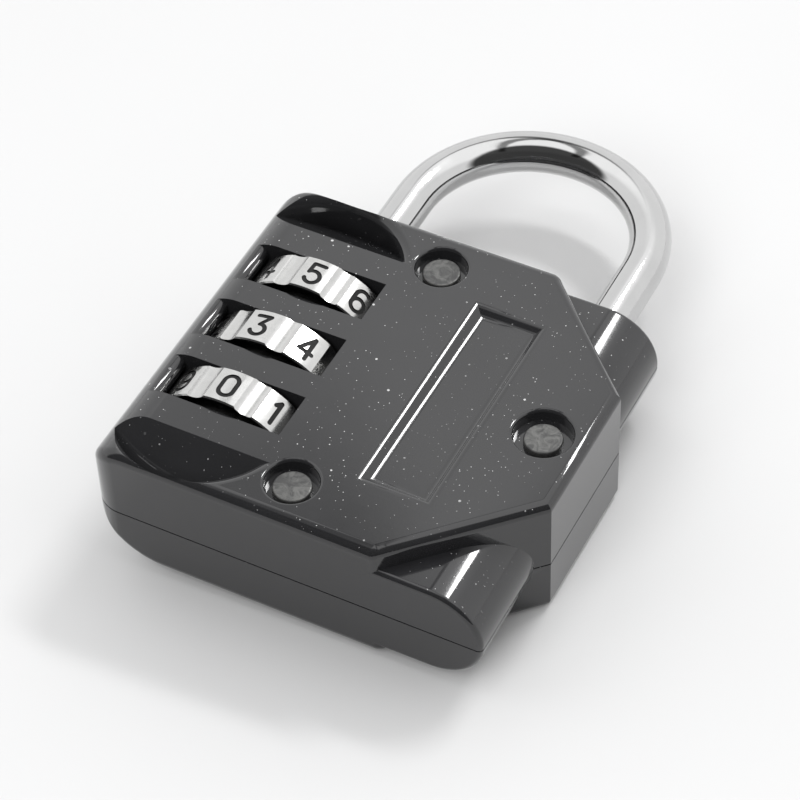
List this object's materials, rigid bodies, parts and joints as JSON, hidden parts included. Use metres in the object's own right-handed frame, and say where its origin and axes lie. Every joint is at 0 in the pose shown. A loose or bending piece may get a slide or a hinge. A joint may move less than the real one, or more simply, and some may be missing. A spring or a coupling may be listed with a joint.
{
  "type": "combination padlock",
  "caption": "Black cast luggage padlock with number wheels on the left, thumb scoops, a blank sunk panel, stepped corners and a round-bar shackle that lifts and turns.",
  "frame": {"origin": "middle of the flat bottom end of the case, halfway through its thickness", "axes": "+X to the right seen from the front, +Y from the bottom end towards the shackle, +Z out of the front face; the lock lies on its back"},
  "size_m": [0.0396, 0.0594, 0.0156],
  "materials": {
    "black_paint": "gloss black paint on cast zinc",
    "rivet_grey": "dull grey plated steel",
    "wheel_plate": "satin bright plating on cast zinc",
    "digit_enamel": "black enamel filling",
    "sleeve_brass": "plain turned brass",
    "spring_steel": "plain spring steel",
    "zinc_steel": "zinc plated steel",
    "shackle_chrome": "polished chrome plating on steel"
  },
  "bodies": {
    "case": {"front_case": "black_paint", "back_case": "black_paint", "rivets": "rivet_grey", "detent_spring_1": "spring_steel", "detent_spring_2": "spring_steel", "detent_spring_3": "spring_steel", "detent_screws": "zinc_steel", "sleeve_spring": "spring_steel"},
    "dial_1": {"wheel_1": "wheel_plate", "wheel_1_numerals": "digit_enamel"},
    "dial_2": {"wheel_2": "wheel_plate", "wheel_2_numerals": "digit_enamel"},
    "dial_3": {"wheel_3": "wheel_plate", "wheel_3_numerals": "digit_enamel"},
    "clutch_1": {"sleeve_1": "sleeve_brass"},
    "clutch_2": {"sleeve_2": "sleeve_brass"},
    "clutch_3": {"sleeve_3": "sleeve_brass", "sleeve_washer": "zinc_steel"},
    "leg_ring": {"retaining_ring": "spring_steel"},
    "shackle": {"shackle": "shackle_chrome", "shackle_lugs": "zinc_steel"}
  },
  "joints": [
    {"name": "dial_1_spin", "type": "hinge", "parent": "case", "child": "dial_1", "pos_m": [-0.0112, 0.02599, 0], "axis": [0, 1, 0], "continuous": true, "deforming": ["detent_spring_1"]},
    {"name": "dial_2_spin", "type": "hinge", "parent": "case", "child": "dial_2", "pos_m": [-0.0112, 0.01835, 0], "axis": [0, 1, 0], "continuous": true, "deforming": ["detent_spring_2"]},
    {"name": "dial_3_spin", "type": "hinge", "parent": "case", "child": "dial_3", "pos_m": [-0.0112, 0.01071, 0], "axis": [0, 1, 0], "continuous": true, "deforming": ["detent_spring_3"]},
    {"name": "shackle_lift", "type": "slide", "parent": "case", "child": "leg_ring", "axis": [0, 1, 0], "range_m": [0, 0.005]},
    {"name": "shackle_swivel", "type": "hinge", "parent": "leg_ring", "child": "shackle", "pos_m": [-0.0112, 0.0367, 0], "axis": [0, -1, 0], "continuous": true},
    {"name": "sleeve_1_shift", "type": "slide", "parent": "dial_1", "child": "clutch_1", "axis": [0, -1, 0], "range_m": [0, 0.0018]},
    {"name": "sleeve_2_shift", "type": "slide", "parent": "dial_2", "child": "clutch_2", "axis": [0, -1, 0], "range_m": [0, 0.0018]},
    {"name": "sleeve_3_shift", "type": "slide", "parent": "dial_3", "child": "clutch_3", "axis": [0, -1, 0], "range_m": [0, 0.0018], "deforming": ["sleeve_spring"]}
  ],
  "couplings": [
    {"joint": "sleeve_2_shift", "follows": "sleeve_1_shift", "ratio": 1},
    {"joint": "sleeve_3_shift", "follows": "sleeve_1_shift", "ratio": 1}
  ]
}
